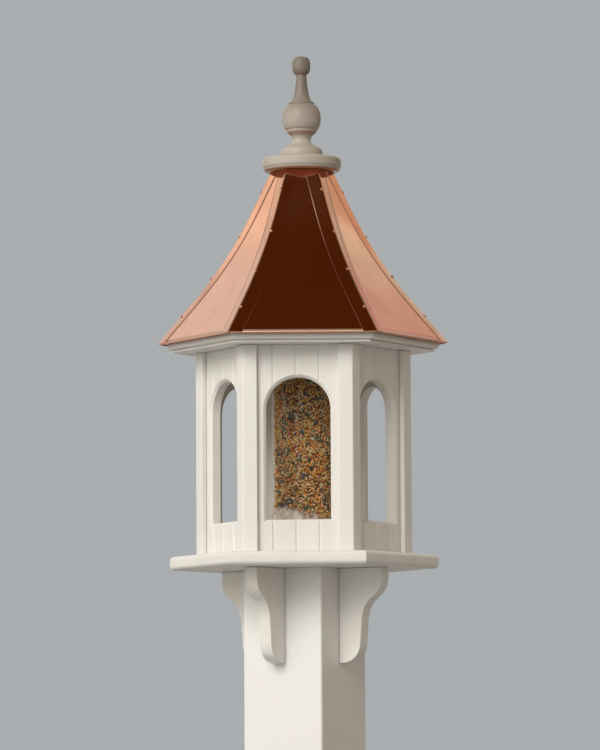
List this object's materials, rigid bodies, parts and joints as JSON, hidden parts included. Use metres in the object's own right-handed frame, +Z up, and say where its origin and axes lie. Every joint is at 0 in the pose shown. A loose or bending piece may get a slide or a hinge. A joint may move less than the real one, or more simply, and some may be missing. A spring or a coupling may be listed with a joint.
{
  "type": "bird feeder on post",
  "caption": "Hexagonal gazebo bird feeder with arched windows, a clear seed tube, a flared copper roof and a lift-off finial, on a square white post.",
  "frame": {"origin": "middle of the post's foot at ground level", "axes": "+Z up along the post, -Y to the front window and the front roof panel, +X to the right seen from the front"},
  "size_m": [0.3354, 0.2906, 1.8144],
  "materials": {
    "white_board": "satin white cellular PVC board",
    "vinyl": "smooth white vinyl sleeve",
    "copper": null,
    "timber": "rough treated softwood, unseen",
    "clear_tube": "clear polycarbonate",
    "seed": "mixed wild bird seed",
    "steel": "stainless screws"
  },
  "bodies": {
    "feeder": {"post_sleeve": "vinyl", "post_timber": "timber", "bracket_front_left": "white_board", "bracket_front_right": "white_board", "bracket_back_right": "white_board", "bracket_back_left": "white_board", "tray_board": "white_board", "tray_screw_1": "steel", "tray_screw_2": "steel", "tray_screw_3": "steel", "tray_screw_4": "steel", "wall_front": "white_board", "wall_front_right": "white_board", "wall_back_right": "white_board", "wall_back": "white_board", "wall_back_left": "white_board", "wall_front_left": "white_board", "corner_board_front": "white_board", "corner_board_front_right": "white_board", "corner_board_back_right": "white_board", "corner_board_back": "white_board", "corner_board_back_left": "white_board", "corner_board_front_left": "white_board", "seed_tube": "clear_tube", "deflector_cone": "white_board", "seed_fill": "seed", "eave_board": "white_board", "roof_collar": "white_board", "roof_rib_front": "timber", "roof_rib_front_right": "timber", "roof_rib_back_right": "timber", "roof_rib_back": "timber", "roof_rib_back_left": "timber", "roof_rib_front_left": "timber", "copper_panel_front": "copper", "copper_panel_front_right": "copper", "copper_panel_back_right": "copper", "copper_panel_back": "copper", "copper_panel_back_left": "copper", "copper_panel_front_left": "copper", "hip_cap_front": "copper", "hip_cap_front_right": "copper", "hip_cap_back_right": "copper", "hip_cap_back": "copper", "hip_cap_back_left": "copper", "hip_cap_front_left": "copper"},
    "cap": {"finial": "white_board", "cap_disc": "white_board", "cap_plug": "white_board", "cap_screw": "steel"}
  },
  "joints": [
    {"name": "cap_lift", "type": "slide", "parent": "feeder", "child": "cap", "axis": [0, 0, 1], "range_m": [0, 0.12]}
  ]
}
